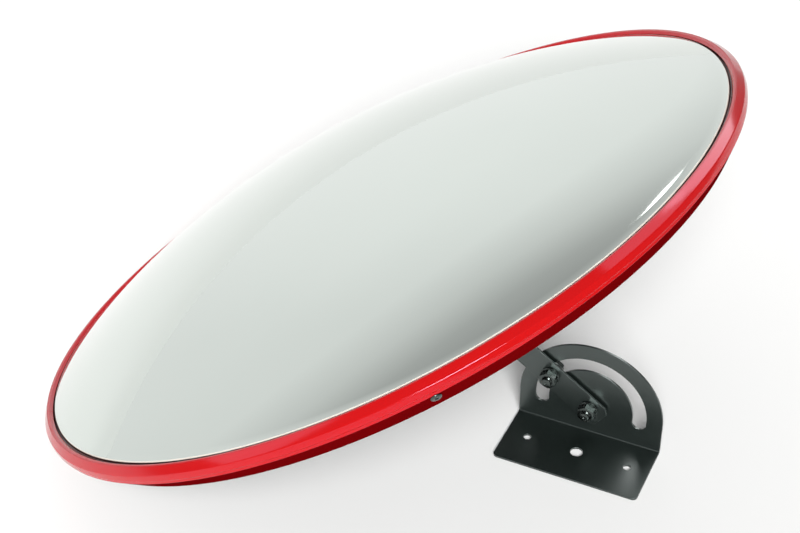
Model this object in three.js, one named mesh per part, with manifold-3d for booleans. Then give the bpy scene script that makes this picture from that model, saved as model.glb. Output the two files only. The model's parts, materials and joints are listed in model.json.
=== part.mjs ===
// Convex security mirror on an adjustable steel bracket.
//
// Units are millimetres and +Z is up. The bracket's base plate lies on the
// plane z = 0, +X runs along the fold of the bracket and the bolts lie along Y,
// with their nuts on the -Y side.

import * as THREE from "three";
import { mergeVertices } from "three/addons/utils/BufferGeometryUtils.js";
import Module from "manifold-3d";

const wasm = await Module();
wasm.setup();

// ---------------------------------------------------------------- sizes

const DEGREE = Math.PI / 180;

// Bracket plate, one folded sheet.
const SHEET = 2;
const BASE_WIDTH = 120;
const BASE_FRONT_Y = -46;
const UPRIGHT_FRONT_Y = 12;
const UPRIGHT_BACK_Y = UPRIGHT_FRONT_Y + SHEET;
const FOLD_INNER_RADIUS = 1.2;
const BASE_CORNER_RADIUS = 4;
const PIVOT_HEIGHT = 28.5;
const UPRIGHT_RADIUS = BASE_WIDTH / 2;
const SLOT_RADIUS = 41;
const SLOT_HALF_WIDTH = 5.7;
const SLOT_START_ANGLE = -5;
const SLOT_END_ANGLE = 185;
const MOUNTING_HOLE_Y = -15;
const SMALL_HOLE_RADIUS = 3;
const SMALL_HOLE_OFFSET = 42;
const LARGE_HOLE_RADIUS = 5;

// M8 hardware.
const BOLT_RADIUS = 4;
const CLEARANCE_RADIUS = 4.25;
const NUT_THREAD_RADIUS = 4.05;
const HEX_CORNER_RADIUS = 7.5;
const BOLT_HEAD_HEIGHT = 5.3;
const NUT_HEIGHT = 6.5;
const WASHER_RADIUS = 8;
const WASHER_THICKNESS = 1.6;
const THREAD_END = 3;
const SLIDE_GAP = 0.05;

// Tilting arm, a flat strip in front of the upright.
const ARM_ANGLE = 145;
const ARM_WIDTH = 23.5;
const ARM_FRONT_Y = 8;
const ARM_BACK_Y = ARM_FRONT_Y + SHEET;
const ARM_LENGTH = 160;
const ARM_END_OVERHANG = 13;
const ARM_CORNER_CUT = 4.5;

// Mirror, built about its own axis with the front of the rim at height 0.
const MIRROR_TILT = 29.5;
const MIRROR_CENTRE = new THREE.Vector3(-177.5, -0.5, 158);
const RIM_RADIUS = 300;
const DOME_SPHERE_RADIUS = 716;
const DOME_EDGE_RADIUS = 288.5;
const DOME_EDGE_HEIGHT = 4.4;
const DOME_THICKNESS = 2;
const DOME_FLANGE_RADIUS = 295;
const DOME_STEPS = 9;
const SHELL_FLAT_HEIGHT = -15.5;
const SHELL_THICKNESS = 2.5;
const SHELL_BACK = SHELL_FLAT_HEIGHT - SHELL_THICKNESS;
const DISC_RADIUS = 68;
const DISC_THICKNESS = 3;
const DISC_BACK = SHELL_BACK - SLIDE_GAP - DISC_THICKNESS;
const DISC_SCREW_RADIUS = 57;
const DISC_SCREW_COUNT = 6;
const EDGING_SCREW_COUNT = 3;
const EDGING_SCREW_FIRST_ANGLE = 65.7;
const EDGING_SCREW_RADIUS = 296.4;
const EDGING_SCREW_HEIGHT = -9.32;
const EDGING_SCREW_LEAN = 45;
const SPACER_RADIUS = 16;
const EDGING_SEAM_ANGLE = 222.5;
const EDGING_SEAM_WIDTH = 0.8;
const LARGE_SEGMENTS = 72;
const SMALL_SEGMENTS = 24;
const SCREW_SEGMENTS = 12;

// Head bracket, folded from thicker sheet and bolted to the mirror's centre.
const HEAD_SHEET = 2.5;
const HEAD_PIN_OFFSET = 21.8;
const HEAD_PIN_DEPTH = 55.7;
const FOOT_BACK_EXTENT = 16;
const FOOT_FRONT_EXTENT = 36;
const FOOT_NEAR_Y = -13.5;
const FOOT_FRONT = DISC_BACK - SLIDE_GAP - WASHER_THICKNESS - SLIDE_GAP;
const FOOT_REAR = FOOT_FRONT - HEAD_SHEET;
const EAR_HALF_WIDTH = 13;
const EAR_GAP = 0.3;

// ---------------------------------------------------------------- finishes

const blackPowderCoat = new THREE.MeshStandardMaterial({ color: 0x2a2d2b, roughness: 0.55, metalness: 0.1 });
const zincPlate = new THREE.MeshStandardMaterial({ color: 0x4b4f4e, roughness: 0.4, metalness: 0.8 });
const mirrorAcrylic = new THREE.MeshStandardMaterial({ color: 0xcfd6d2, roughness: 0.05, metalness: 1 });
const redPlastic = new THREE.MeshStandardMaterial({ color: 0xc8140a, roughness: 0.25, metalness: 0 });
const blackPlastic = new THREE.MeshStandardMaterial({ color: 0x1c1c1c, roughness: 0.6, metalness: 0 });
const foam = new THREE.MeshStandardMaterial({ color: 0x33342c, roughness: 0.9, metalness: 0 });

// ---------------------------------------------------------------- helpers

/** Turns a geometry into a manifold solid, dropping flat triangles at an axis. */
function solid(geometry) {
  const bare = geometry.clone();
  bare.deleteAttribute("normal");
  bare.deleteAttribute("uv");
  const merged = mergeVertices(bare, 1e-4);
  const source = merged.index.array;
  const kept = [];
  for (let i = 0; i < source.length; i += 3) {
    const [a, b, c] = [source[i], source[i + 1], source[i + 2]];
    if (a !== b && b !== c && c !== a) {
      kept.push(a, b, c);
    }
  }
  const mesh = new wasm.Mesh({
    numProp: 3,
    vertProperties: new Float32Array(merged.attributes.position.array),
    triVerts: new Uint32Array(kept),
  });
  return new wasm.Manifold(mesh);
}

/** Turns a manifold solid back into a geometry with flat shading. */
function geometryOf(manifold) {
  const mesh = manifold.getMesh();
  const geometry = new THREE.BufferGeometry();
  geometry.setAttribute("position", new THREE.BufferAttribute(new Float32Array(mesh.vertProperties), 3));
  geometry.setIndex(new THREE.BufferAttribute(new Uint32Array(mesh.triVerts), 1));
  return geometry;
}

/** Makes a named mesh with its own copy of a finish. */
function piece(name, geometry, material) {
  const mesh = new THREE.Mesh(geometry, material.clone());
  mesh.name = name;
  return mesh;
}

/** Extrudes a flat outline, given as [u, v] pairs, by a depth along +Z. */
function extrude(points, depth) {
  const shape = new THREE.Shape(points.map(([u, v]) => new THREE.Vector2(u, v)));
  return new THREE.ExtrudeGeometry(shape, { depth, bevelEnabled: false });
}

/** Extrudes an outline given in X and Z, between two planes of constant Y. */
function slabAlongY(points, lowY, highY) {
  const geometry = extrude(points, highY - lowY);
  geometry.rotateX(Math.PI / 2);
  geometry.translate(0, highY, 0);
  return geometry;
}

/** Extrudes an outline given in Y and Z, between two planes of constant X. */
function sectionAlongX(points, lowX, highX) {
  const geometry = extrude(points, highX - lowX);
  geometry.translate(0, 0, lowX);
  geometry.applyMatrix4(new THREE.Matrix4().makeBasis(
    new THREE.Vector3(0, 1, 0),
    new THREE.Vector3(0, 0, 1),
    new THREE.Vector3(1, 0, 0),
  ));
  return geometry;
}

/** Cylinder along Y between two heights. */
function rodAlongY(radius, lowY, highY, segments = SMALL_SEGMENTS) {
  const geometry = new THREE.CylinderGeometry(radius, radius, highY - lowY, segments);
  geometry.translate(0, (lowY + highY) / 2, 0);
  return geometry;
}

/** Cylinder along Z between two heights. */
function rodAlongZ(radius, lowZ, highZ, segments = SMALL_SEGMENTS) {
  const geometry = rodAlongY(radius, lowZ, highZ, segments);
  geometry.rotateX(Math.PI / 2);
  return geometry;
}

/** Solid or ring turned about Z from a closed profile of [radius, height] pairs. */
function turned(profile, segments) {
  const points = profile.map(([radius, height]) => new THREE.Vector2(radius, height));
  const geometry = new THREE.LatheGeometry(points, segments);
  geometry.rotateX(Math.PI / 2);
  return geometry;
}

/** Points of a circular arc about a centre, angles in degrees. */
function arc(centreU, centreV, radius, startAngle, endAngle, steps) {
  const points = [];
  for (let i = 0; i <= steps; i += 1) {
    const angle = (startAngle + ((endAngle - startAngle) * i) / steps) * DEGREE;
    points.push([centreU + radius * Math.cos(angle), centreV + radius * Math.sin(angle)]);
  }
  return points;
}

// ---------------------------------------------------------------- hardware

/** Hex bolt along Y with its head at the +Y end. */
function hexBolt(name, headFaceY, tipY) {
  const head = rodAlongY(HEX_CORNER_RADIUS, headFaceY, headFaceY + BOLT_HEAD_HEIGHT, 6);
  const shank = rodAlongY(BOLT_RADIUS, tipY + 1, headFaceY + 1);
  const tip = new THREE.CylinderGeometry(BOLT_RADIUS, BOLT_RADIUS - 0.8, 1, SMALL_SEGMENTS);
  tip.translate(0, tipY + 0.5, 0);
  const bolt = solid(head).add(solid(shank)).add(solid(tip));
  return piece(name, geometryOf(bolt), zincPlate);
}

/** Hex nut along Y between a face and its own height. */
function hexNut(name, lowY) {
  const body = rodAlongY(HEX_CORNER_RADIUS, lowY, lowY + NUT_HEIGHT, 6);
  const hole = rodAlongY(NUT_THREAD_RADIUS, lowY - 1, lowY + NUT_HEIGHT + 1);
  return piece(name, geometryOf(solid(body).subtract(solid(hole))), zincPlate);
}

/** Flat washer along Y. */
function washer(name, lowY, highY, radius = WASHER_RADIUS) {
  const ring = [
    [CLEARANCE_RADIUS, lowY],
    [radius, lowY],
    [radius, highY],
    [CLEARANCE_RADIUS, highY],
    [CLEARANCE_RADIUS, lowY],
  ];
  const points = ring.map(([r, y]) => new THREE.Vector2(r, y));
  return piece(name, new THREE.LatheGeometry(points, SMALL_SEGMENTS), zincPlate);
}

/** The bolt, washers and nut that clamp the arm to the upright at one hole. */
function clampSet(prefix) {
  const backWasherY = UPRIGHT_BACK_Y + SLIDE_GAP;
  const headFaceY = backWasherY + WASHER_THICKNESS;
  const frontWasherY = ARM_FRONT_Y - WASHER_THICKNESS;
  const nutY = frontWasherY - NUT_HEIGHT;
  const set = new THREE.Group();
  set.add(hexBolt(`${prefix}_bolt`, headFaceY, nutY - THREAD_END));
  set.add(washer(`${prefix}_back_washer`, backWasherY, headFaceY));
  set.add(washer(`${prefix}_spacer`, ARM_BACK_Y, UPRIGHT_FRONT_Y - SLIDE_GAP));
  set.add(washer(`${prefix}_front_washer`, frontWasherY, ARM_FRONT_Y));
  set.add(hexNut(`${prefix}_nut`, nutY));
  return set;
}

/** Pan-head screw along Z: the head hangs below height 0, the shank stands above it. */
function panScrew(headRadius, headHeight, shankRadius, shankLength) {
  const profile = [
    [0, -headHeight],
    [headRadius * 0.7, -headHeight],
    [headRadius, -headHeight * 0.4],
    [headRadius, 0],
    [shankRadius, 0],
    [shankRadius, shankLength - shankRadius],
    [0, shankLength],
  ];
  return turned(profile, SCREW_SEGMENTS);
}

/** Places one geometry at each of several evenly spaced angles about Z. */
function placedAround(geometry, count, firstAngle) {
  const copies = [];
  for (let i = 0; i < count; i += 1) {
    const copy = geometry.clone();
    copy.rotateZ((firstAngle + (360 * i) / count) * DEGREE);
    copies.push(copy);
  }
  return copies;
}

// ---------------------------------------------------------------- bracket

/** Outline of the upright in X and Z: a half disc on straight sides. */
function uprightOutline() {
  const rounded = arc(0, PIVOT_HEIGHT, UPRIGHT_RADIUS, 0, 180, 48);
  return [[-UPRIGHT_RADIUS, -1], [UPRIGHT_RADIUS, -1], ...rounded];
}

/** Outline of the base in X and Y: a rectangle with rounded front corners. */
function baseOutline() {
  const halfWidth = BASE_WIDTH / 2;
  const cornerX = halfWidth - BASE_CORNER_RADIUS;
  const cornerY = BASE_FRONT_Y + BASE_CORNER_RADIUS;
  return [
    [halfWidth, UPRIGHT_BACK_Y + 1],
    [-halfWidth, UPRIGHT_BACK_Y + 1],
    ...arc(-cornerX, cornerY, BASE_CORNER_RADIUS, 180, 270, 8),
    ...arc(cornerX, cornerY, BASE_CORNER_RADIUS, 270, 360, 8),
  ];
}

/** Folded section in Y and Z, extruded over the full width. */
function foldedSheet() {
  const top = PIVOT_HEIGHT + UPRIGHT_RADIUS + 1;
  const inner = FOLD_INNER_RADIUS;
  const outer = FOLD_INNER_RADIUS + SHEET;
  const bendY = UPRIGHT_FRONT_Y - inner;
  const bendZ = SHEET + inner;
  const section = [
    [BASE_FRONT_Y - 1, 0],
    ...arc(bendY, bendZ, outer, 270, 360, 8),
    [UPRIGHT_BACK_Y, top],
    [UPRIGHT_FRONT_Y, top],
    ...arc(bendY, bendZ, inner, 360, 270, 8),
    [BASE_FRONT_Y - 1, SHEET],
  ];
  return sectionAlongX(section, -BASE_WIDTH / 2 - 1, BASE_WIDTH / 2 + 1);
}

/** Outline of the arc slot in X and Z, with round ends. */
function slotOutline() {
  const endCentre = (angle) => [
    SLOT_RADIUS * Math.cos(angle * DEGREE),
    PIVOT_HEIGHT + SLOT_RADIUS * Math.sin(angle * DEGREE),
  ];
  const [startX, startZ] = endCentre(SLOT_START_ANGLE);
  const [endX, endZ] = endCentre(SLOT_END_ANGLE);
  const outer = SLOT_RADIUS + SLOT_HALF_WIDTH;
  const inner = SLOT_RADIUS - SLOT_HALF_WIDTH;
  return [
    ...arc(0, PIVOT_HEIGHT, outer, SLOT_START_ANGLE, SLOT_END_ANGLE, 36),
    ...arc(endX, endZ, SLOT_HALF_WIDTH, SLOT_END_ANGLE, SLOT_END_ANGLE + 180, 8).slice(1, -1),
    ...arc(0, PIVOT_HEIGHT, inner, SLOT_END_ANGLE, SLOT_START_ANGLE, 36),
    ...arc(startX, startZ, SLOT_HALF_WIDTH, SLOT_START_ANGLE + 180, SLOT_START_ANGLE + 360, 8).slice(1, -1),
  ];
}

/** The wall bracket: base with three holes and slotted half-round upright. */
function bracketPlate() {
  const outlineOfUpright = slabAlongY(uprightOutline(), UPRIGHT_FRONT_Y - 4, UPRIGHT_BACK_Y + 1);
  const outlineOfBase = extrude(baseOutline(), SHEET + 2.2);
  outlineOfBase.translate(0, 0, -1);
  let plate = solid(foldedSheet()).intersect(solid(outlineOfUpright).add(solid(outlineOfBase)));
  plate = plate.subtract(solid(slabAlongY(slotOutline(), UPRIGHT_FRONT_Y - 1, UPRIGHT_BACK_Y + 1)));
  const pivotHole = rodAlongY(CLEARANCE_RADIUS, UPRIGHT_FRONT_Y - 1, UPRIGHT_BACK_Y + 1);
  pivotHole.translate(0, 0, PIVOT_HEIGHT);
  plate = plate.subtract(solid(pivotHole));
  const holes = [
    [-SMALL_HOLE_OFFSET, SMALL_HOLE_RADIUS],
    [0, LARGE_HOLE_RADIUS],
    [SMALL_HOLE_OFFSET, SMALL_HOLE_RADIUS],
  ];
  for (const [x, radius] of holes) {
    const hole = rodAlongZ(radius, -1, SHEET + 1);
    hole.translate(x, MOUNTING_HOLE_Y, 0);
    plate = plate.subtract(solid(hole));
  }
  return piece("bracket_plate", geometryOf(plate), blackPowderCoat);
}

// ---------------------------------------------------------------- arm

/** Strip from the pivot to the head pin, along local +X, with cut corners. */
function tiltArm() {
  const half = ARM_WIDTH / 2;
  const cut = ARM_CORNER_CUT;
  const low = -ARM_END_OVERHANG;
  const high = ARM_LENGTH + ARM_END_OVERHANG - 1;
  const outline = [
    [low + cut, -half],
    [high - cut, -half],
    [high, -half + cut],
    [high, half - cut],
    [high - cut, half],
    [low + cut, half],
    [low, half - cut],
    [low, -half + cut],
  ];
  let arm = solid(slabAlongY(outline, ARM_FRONT_Y, ARM_BACK_Y));
  for (const x of [0, SLOT_RADIUS, ARM_LENGTH]) {
    const hole = rodAlongY(CLEARANCE_RADIUS, ARM_FRONT_Y - 1, ARM_BACK_Y + 1);
    hole.translate(x, 0, 0);
    arm = arm.subtract(solid(hole));
  }
  return piece("tilt_arm", geometryOf(arm), blackPowderCoat);
}

/** Everything that turns about the pivot bolt, built along local +X. */
function armGroup() {
  const group = new THREE.Group();
  group.position.set(0, 0, PIVOT_HEIGHT);
  group.rotation.y = -ARM_ANGLE * DEGREE;
  group.add(tiltArm());
  group.add(clampSet("pivot"));
  const lock = clampSet("lock");
  lock.position.x = SLOT_RADIUS;
  group.add(lock);
  return group;
}

// ---------------------------------------------------------------- head

/** Folded bracket: a foot on the mirror's back and an ear beside the arm. */
function headBracket(axisY) {
  const earNearY = ARM_BACK_Y + EAR_GAP - axisY;
  const earFarY = earNearY + HEAD_SHEET;
  const earTip = -HEAD_PIN_DEPTH;
  const bendY = earNearY - FOLD_INNER_RADIUS;
  const bendZ = FOOT_REAR - FOLD_INNER_RADIUS;
  const outer = FOLD_INNER_RADIUS + HEAD_SHEET;
  const section = [
    [FOOT_NEAR_Y, FOOT_FRONT],
    ...arc(bendY, bendZ, outer, 90, 0, 6),
    [earFarY, earTip - EAR_HALF_WIDTH - 1],
    [earNearY, earTip - EAR_HALF_WIDTH - 1],
    ...arc(bendY, bendZ, FOLD_INNER_RADIUS, 0, 90, 6),
    [FOOT_NEAR_Y, FOOT_REAR],
  ];
  const sheet = sectionAlongX(section, -FOOT_BACK_EXTENT - 1, FOOT_FRONT_EXTENT + 1);
  const outline = [
    [FOOT_FRONT_EXTENT, FOOT_FRONT + 1],
    [-FOOT_BACK_EXTENT, FOOT_FRONT + 1],
    [-FOOT_BACK_EXTENT, FOOT_REAR - 5],
    ...arc(HEAD_PIN_OFFSET, earTip, EAR_HALF_WIDTH, 180, 360, 16),
    [FOOT_FRONT_EXTENT, FOOT_REAR - 5],
  ];
  let bracket = solid(sheet).intersect(solid(slabAlongY(outline, FOOT_NEAR_Y - 1, earFarY + 1)));
  const swivelHole = rodAlongZ(CLEARANCE_RADIUS, FOOT_REAR - 1, FOOT_FRONT + 1);
  bracket = bracket.subtract(solid(swivelHole));
  const pinHole = rodAlongY(CLEARANCE_RADIUS, earNearY - 1, earFarY + 1);
  pinHole.translate(HEAD_PIN_OFFSET, 0, earTip);
  bracket = bracket.subtract(solid(pinHole));
  return piece("head_bracket", geometryOf(bracket), blackPowderCoat);
}

/** Bolt, washers and nut of the head's tilt pin. */
function headPinSet(axisY) {
  const set = new THREE.Group();
  set.position.set(HEAD_PIN_OFFSET, -axisY, -HEAD_PIN_DEPTH);
  const backWasherY = ARM_BACK_Y + EAR_GAP + HEAD_SHEET;
  const frontWasherY = ARM_FRONT_Y - SLIDE_GAP - WASHER_THICKNESS;
  const nutY = frontWasherY - NUT_HEIGHT;
  set.add(hexBolt("head_bolt", backWasherY + WASHER_THICKNESS, nutY - THREAD_END));
  set.add(washer("head_back_washer", backWasherY, backWasherY + WASHER_THICKNESS));
  set.add(washer("head_front_washer", frontWasherY, frontWasherY + WASHER_THICKNESS));
  set.add(hexNut("head_nut", nutY));
  return set;
}

// ---------------------------------------------------------------- mirror

/** Points across one face of the dome, from its crown to its edge. */
function domeArc(drop) {
  const sphere = DOME_SPHERE_RADIUS - drop;
  const centreHeight = DOME_EDGE_HEIGHT - Math.sqrt(DOME_SPHERE_RADIUS ** 2 - DOME_EDGE_RADIUS ** 2);
  const edge = DOME_EDGE_RADIUS - drop * 0.5;
  const points = [];
  for (let i = 0; i <= DOME_STEPS; i += 1) {
    const radius = (edge * i) / DOME_STEPS;
    points.push([radius, centreHeight + Math.sqrt(sphere ** 2 - radius ** 2)]);
  }
  return points;
}

/** Thin convex mirror sheet with a steep lip and a flat flange. */
function mirrorDome() {
  const outerFace = domeArc(0).reverse();
  const innerFace = domeArc(DOME_THICKNESS);
  const profile = [
    ...innerFace,
    [DOME_EDGE_RADIUS - 0.8, 0.1],
    [DOME_FLANGE_RADIUS, 0.1],
    [DOME_FLANGE_RADIUS, 1.7],
    [DOME_EDGE_RADIUS + 0.8, 1.7],
    ...outerFace,
    innerFace[0],
  ];
  return piece("mirror_dome", turned(profile, LARGE_SEGMENTS), mirrorAcrylic);
}

/** Shallow plastic dish that closes the mirror's back. */
function backShell(screwCuts) {
  const profile = [
    [0, SHELL_FLAT_HEIGHT],
    [0, SHELL_BACK],
    [100, SHELL_BACK],
    [103, SHELL_BACK - 1.5],
    [111, SHELL_BACK - 1.5],
    [114, SHELL_BACK],
    [200, SHELL_BACK],
    [203, SHELL_BACK - 1.5],
    [211, SHELL_BACK - 1.5],
    [214, SHELL_BACK],
    [284.4, SHELL_BACK],
    [294.6, -8.3],
    [294.6, -3],
    [288, -3],
    [288, -8.9],
    [281.4, SHELL_FLAT_HEIGHT],
    [214.8, SHELL_FLAT_HEIGHT],
    [0, SHELL_FLAT_HEIGHT],
  ];
  let shell = solid(turned(profile, LARGE_SEGMENTS));
  shell = shell.subtract(solid(rodAlongZ(CLEARANCE_RADIUS, SHELL_BACK - 1, SHELL_FLAT_HEIGHT + 1)));
  for (const cut of screwCuts) {
    shell = shell.subtract(solid(cut));
  }
  return piece("back_shell", geometryOf(shell), blackPlastic);
}

/** Soft ring between the mirror's flange and the back shell. */
function cushionRing() {
  const profile = [
    [288.5, -2.8],
    [294.4, -2.8],
    [294.4, -0.1],
    [288.5, -0.1],
    [288.5, -2.8],
  ];
  return piece("cushion_ring", turned(profile, LARGE_SEGMENTS), foam);
}

/** Red edging: a round bead, a groove and a tapered skirt, open at one seam. */
function rimEdging(screwCuts) {
  const profile = [
    [284.9, -18.9],
    [285.2, -19.5],
    [286.2, -19.5],
    [298.8, -6.9],
    [298.9, -4.9],
    [299.4, -4.1],
    [299.9, -3],
    [RIM_RADIUS, -0.4],
    [299.4, 2.2],
    [297.9, 4.3],
    [295.4, 5.4],
    [293, 5],
    [291, 3.5],
    [291.2, 2.4],
    [293, 2],
    [295.6, 2],
    [295.6, -8.2],
    [284.9, -18.9],
  ];
  let edging = solid(turned(profile, LARGE_SEGMENTS));
  const seam = new THREE.BoxGeometry(40, EDGING_SEAM_WIDTH, 60);
  seam.translate(RIM_RADIUS - 8, 0, 0);
  seam.rotateZ(EDGING_SEAM_ANGLE * DEGREE);
  edging = edging.subtract(solid(seam));
  for (const cut of screwCuts) {
    edging = edging.subtract(solid(cut));
  }
  return piece("rim_edging", geometryOf(edging), redPlastic);
}

/** Steel disc that spreads the load of the swivel bolt over the shell. */
function backingDisc(screwCuts) {
  let disc = solid(rodAlongZ(DISC_RADIUS, DISC_BACK, DISC_BACK + DISC_THICKNESS, 48));
  disc = disc.subtract(solid(rodAlongZ(CLEARANCE_RADIUS, DISC_BACK - 1, DISC_BACK + DISC_THICKNESS + 1)));
  for (const cut of screwCuts) {
    disc = disc.subtract(solid(cut));
  }
  return piece("backing_disc", geometryOf(disc), blackPowderCoat);
}

/** Round-headed bolt, its head inside the shell and its thread to the rear. */
function swivelBolt() {
  const headZ = SHELL_FLAT_HEIGHT + SLIDE_GAP;
  const tipZ = FOOT_REAR - WASHER_THICKNESS - NUT_HEIGHT - 4.5;
  const profile = [
    [0, tipZ],
    [BOLT_RADIUS - 0.8, tipZ],
    [BOLT_RADIUS, tipZ + 1],
    [BOLT_RADIUS, headZ],
    [10, headZ],
    [9, headZ + 2.6],
    [6, headZ + 4.2],
    [0, headZ + 4.8],
  ];
  return piece("swivel_bolt", turned(profile, SMALL_SEGMENTS), zincPlate);
}

/** Stands a piece that was built along Y up along Z, with its nut side to the rear. */
function alongMirrorAxis(mesh) {
  mesh.geometry.rotateX(Math.PI / 2);
  return mesh;
}

/** The swivel's spacer, washer and nut, stacked on the head bracket's foot. */
function swivelHardware() {
  const spacerZ = FOOT_FRONT + SLIDE_GAP;
  const washerZ = FOOT_REAR - SLIDE_GAP - WASHER_THICKNESS;
  return [
    alongMirrorAxis(washer("swivel_spacer", spacerZ, spacerZ + WASHER_THICKNESS, SPACER_RADIUS)),
    alongMirrorAxis(washer("swivel_washer", washerZ, washerZ + WASHER_THICKNESS)),
    alongMirrorAxis(hexNut("swivel_nut", washerZ - SLIDE_GAP - NUT_HEIGHT)),
  ];
}

/** Everything that turns on the mirror's centre bolt. */
function mirrorPieces() {
  const discScrew = panScrew(4.5, 2.6, 2, 7);
  discScrew.translate(DISC_SCREW_RADIUS, 0, DISC_BACK);
  const discCut = rodAlongZ(2.3, DISC_BACK - 1, SHELL_FLAT_HEIGHT + 1, SCREW_SEGMENTS);
  discCut.translate(DISC_SCREW_RADIUS, 0, 0);
  const discCuts = placedAround(discCut, DISC_SCREW_COUNT, 0);

  const lean = EDGING_SCREW_LEAN * DEGREE;
  const edgingScrew = panScrew(4, 1.6, 1.5, 7);
  const edgingCut = rodAlongZ(1.8, -1.6, 8, SCREW_SEGMENTS);
  for (const geometry of [edgingScrew, edgingCut]) {
    geometry.rotateY(-lean);
    geometry.translate(EDGING_SCREW_RADIUS, 0, EDGING_SCREW_HEIGHT);
  }
  const edgingCuts = placedAround(edgingCut, EDGING_SCREW_COUNT, EDGING_SCREW_FIRST_ANGLE);

  const pieces = [
    mirrorDome(),
    cushionRing(),
    backShell([...discCuts, ...edgingCuts]),
    rimEdging(edgingCuts),
    backingDisc(discCuts),
    swivelBolt(),
    ...swivelHardware(),
  ];
  placedAround(discScrew, DISC_SCREW_COUNT, 0).forEach((geometry, index) => {
    pieces.push(piece(`disc_screw_${index + 1}`, geometry, zincPlate));
  });
  placedAround(edgingScrew, EDGING_SCREW_COUNT, EDGING_SCREW_FIRST_ANGLE).forEach((geometry, index) => {
    pieces.push(piece(`edging_screw_${index + 1}`, geometry, zincPlate));
  });
  return pieces;
}

/** Head and mirror, built about the mirror's own axis and leaned back. */
function headGroup() {
  const head = new THREE.Group();
  head.position.copy(MIRROR_CENTRE);
  head.rotation.y = -MIRROR_TILT * DEGREE;
  head.add(headBracket(MIRROR_CENTRE.y));
  head.add(headPinSet(MIRROR_CENTRE.y));
  for (const mesh of mirrorPieces()) {
    head.add(mesh);
  }
  return head;
}

const assembly = new THREE.Group();
assembly.name = "convex_security_mirror";
assembly.add(bracketPlate());
assembly.add(armGroup());
assembly.add(headGroup());

export default assembly;
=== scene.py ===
"""Looks of a convex security mirror on its folded steel bracket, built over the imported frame."""

import json
import logging
import math
from dataclasses import dataclass, field
from enum import Enum
from typing import Any, Callable, Iterable, NamedTuple

import bmesh
import bpy
from bmesh.types import BMEdge, BMesh, BMVert
from mathutils import Matrix, Vector


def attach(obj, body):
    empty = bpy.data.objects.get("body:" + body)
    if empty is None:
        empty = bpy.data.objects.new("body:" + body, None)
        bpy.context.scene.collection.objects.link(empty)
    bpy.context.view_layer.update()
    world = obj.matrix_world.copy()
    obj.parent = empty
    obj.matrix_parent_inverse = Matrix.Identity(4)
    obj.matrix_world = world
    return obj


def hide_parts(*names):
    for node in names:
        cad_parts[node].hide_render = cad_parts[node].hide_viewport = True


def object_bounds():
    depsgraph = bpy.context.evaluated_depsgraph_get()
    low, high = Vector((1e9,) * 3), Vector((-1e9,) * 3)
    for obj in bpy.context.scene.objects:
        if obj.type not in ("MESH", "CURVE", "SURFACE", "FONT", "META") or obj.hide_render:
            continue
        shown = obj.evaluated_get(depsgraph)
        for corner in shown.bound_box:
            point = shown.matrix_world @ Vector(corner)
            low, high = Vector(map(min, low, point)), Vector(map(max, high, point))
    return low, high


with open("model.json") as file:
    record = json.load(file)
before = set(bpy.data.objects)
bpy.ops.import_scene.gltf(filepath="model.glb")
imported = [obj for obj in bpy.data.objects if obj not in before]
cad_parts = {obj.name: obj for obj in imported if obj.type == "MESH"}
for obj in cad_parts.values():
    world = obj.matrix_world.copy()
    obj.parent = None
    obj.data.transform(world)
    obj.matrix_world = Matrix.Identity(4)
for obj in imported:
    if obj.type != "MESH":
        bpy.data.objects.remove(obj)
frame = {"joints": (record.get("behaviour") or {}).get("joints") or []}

CAD_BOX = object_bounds()
MM = 0.001
TURN = 2.0 * math.pi
WELD = 1e-4
TINY = 1e-6
HOLE_POINTS = 48
FOLD_PARTS = 6
FOLD_TURN = math.radians(90.0 / (FOLD_PARTS + 1))
BOLT_CLEARANCE = 4.25
WASHER_RADIUS = 8.0
LOG = logging.getLogger("mirror")

Point = tuple[float, float]
Colour = tuple[float, float, float, float]


# ---------------------------------------------------------------- colours and nodes


def linear(hex_code: str) -> Colour:
    """Turns an sRGB hex colour into the linear values that shaders take.

    Args:
        hex_code: Six hex digits, with or without a leading hash.

    Returns:
        Red, green, blue and an alpha of one.
    """
    digits = hex_code.lstrip("#")
    channels = [int(digits[i : i + 2], 16) / 255.0 for i in (0, 2, 4)]
    red, green, blue = (c / 12.92 if c <= 0.04045 else ((c + 0.055) / 1.055) ** 2.4 for c in channels)
    return (red, green, blue, 1.0)


def add_node(
    tree: bpy.types.NodeTree,
    kind: str,
    settings: dict[str, Any] | None = None,
    inputs: dict[str | int, Any] | None = None,
) -> bpy.types.Node:
    """Adds one node, sets its properties, and fills or links its inputs.

    Args:
        tree: The node tree that gets the node.
        kind: The node's Blender type name.
        settings: Properties of the node itself.
        inputs: Socket name or number, with a value or an output socket to link.

    Returns:
        The new node.
    """
    node = tree.nodes.new(kind)
    for name, value in (settings or {}).items():
        setattr(node, name, value)
    for name, value in (inputs or {}).items():
        if isinstance(value, bpy.types.NodeSocket):
            tree.links.new(value, node.inputs[name])
        else:
            node.inputs[name].default_value = value
    return node


# ---------------------------------------------------------------- finishes


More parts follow.
